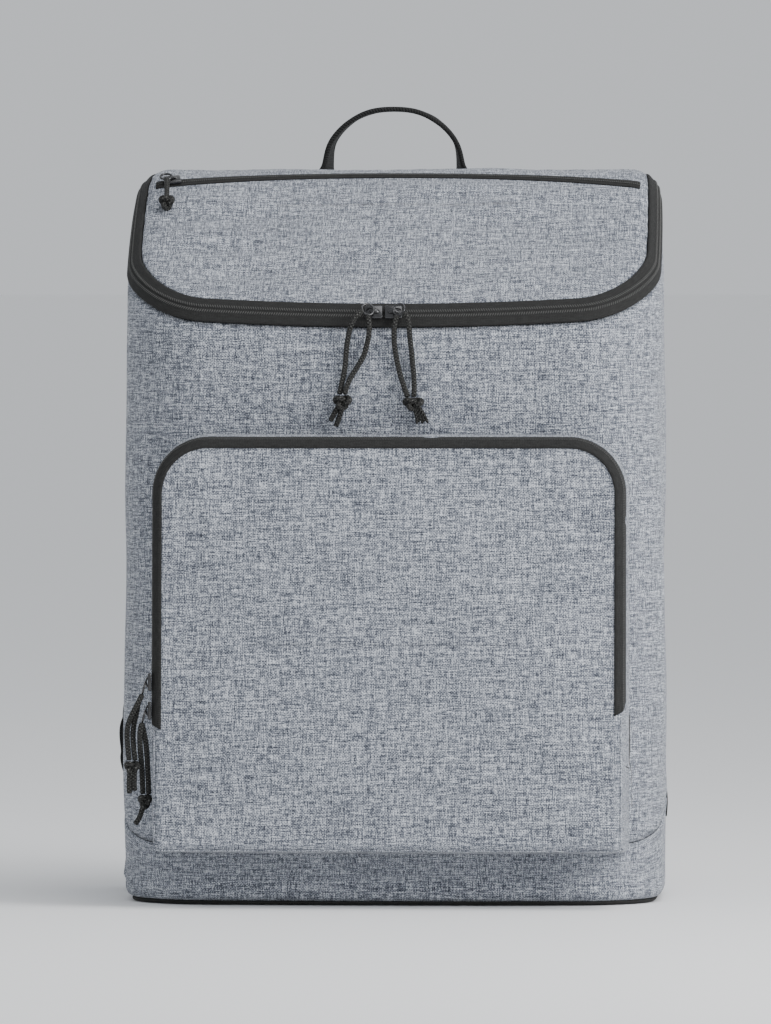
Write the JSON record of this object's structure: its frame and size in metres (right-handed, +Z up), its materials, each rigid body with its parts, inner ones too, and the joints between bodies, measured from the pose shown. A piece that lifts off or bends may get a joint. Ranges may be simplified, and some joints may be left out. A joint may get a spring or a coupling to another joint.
{
  "type": "cooler backpack",
  "caption": "Soft insulated backpack with a sloping zipped lid, a zipped front pocket, a webbing carry handle and padded shoulder straps",
  "frame": {"origin": "the middle of the flat base, on the ground", "axes": "front towards -Y, right side in a front view towards +X, +Z up"},
  "size_m": [0.3181, 0.2585, 0.4507],
  "materials": {
    "melange_fabric": "woven grey melange polyester, matte",
    "zip_tape": "black woven zip tape with a closed coil",
    "webbing": "black woven webbing",
    "cord": "dark braided cord",
    "buckle_plastic": "moulded black",
    "dark_metal": "dark plated zinc"
  },
  "bodies": {
    "root": {"base_panel": "melange_fabric", "base_piping": "zip_tape", "body_shell": "melange_fabric", "lid_panel": "melange_fabric", "lid_zip_tape": "zip_tape", "lid_pocket_zip_tape": "zip_tape", "front_pocket": "melange_fabric", "front_pocket_zip_tape": "zip_tape", "carry_handle": "webbing", "shoulder_strap_left": "melange_fabric", "shoulder_strap_right": "melange_fabric", "strap_webbing_left": "webbing", "strap_webbing_right": "webbing", "strap_anchor_left": "melange_fabric", "strap_anchor_right": "melange_fabric", "strap_buckle_left": "buckle_plastic", "strap_buckle_right": "buckle_plastic", "slider_main_left": "dark_metal", "slider_main_right": "dark_metal", "slider_lid_pocket": "dark_metal", "slider_pocket_upper": "dark_metal", "slider_pocket_lower": "dark_metal", "pull_ring_main_left": "dark_metal", "pull_ring_main_right": "dark_metal", "pull_ring_lid_pocket": "dark_metal", "pull_ring_pocket_upper": "dark_metal", "pull_ring_pocket_lower": "dark_metal", "cord_main_left_a": "cord", "cord_main_left_b": "cord", "cord_main_right_a": "cord", "cord_main_right_b": "cord", "cord_pocket_upper_a": "cord", "cord_pocket_upper_b": "cord", "cord_pocket_lower_a": "cord", "cord_pocket_lower_b": "cord", "knot_main_left": "cord", "knot_main_right": "cord", "knot_lid_pocket": "cord", "knot_pocket_upper": "cord", "knot_pocket_lower": "cord"}
  },
  "joints": []
}
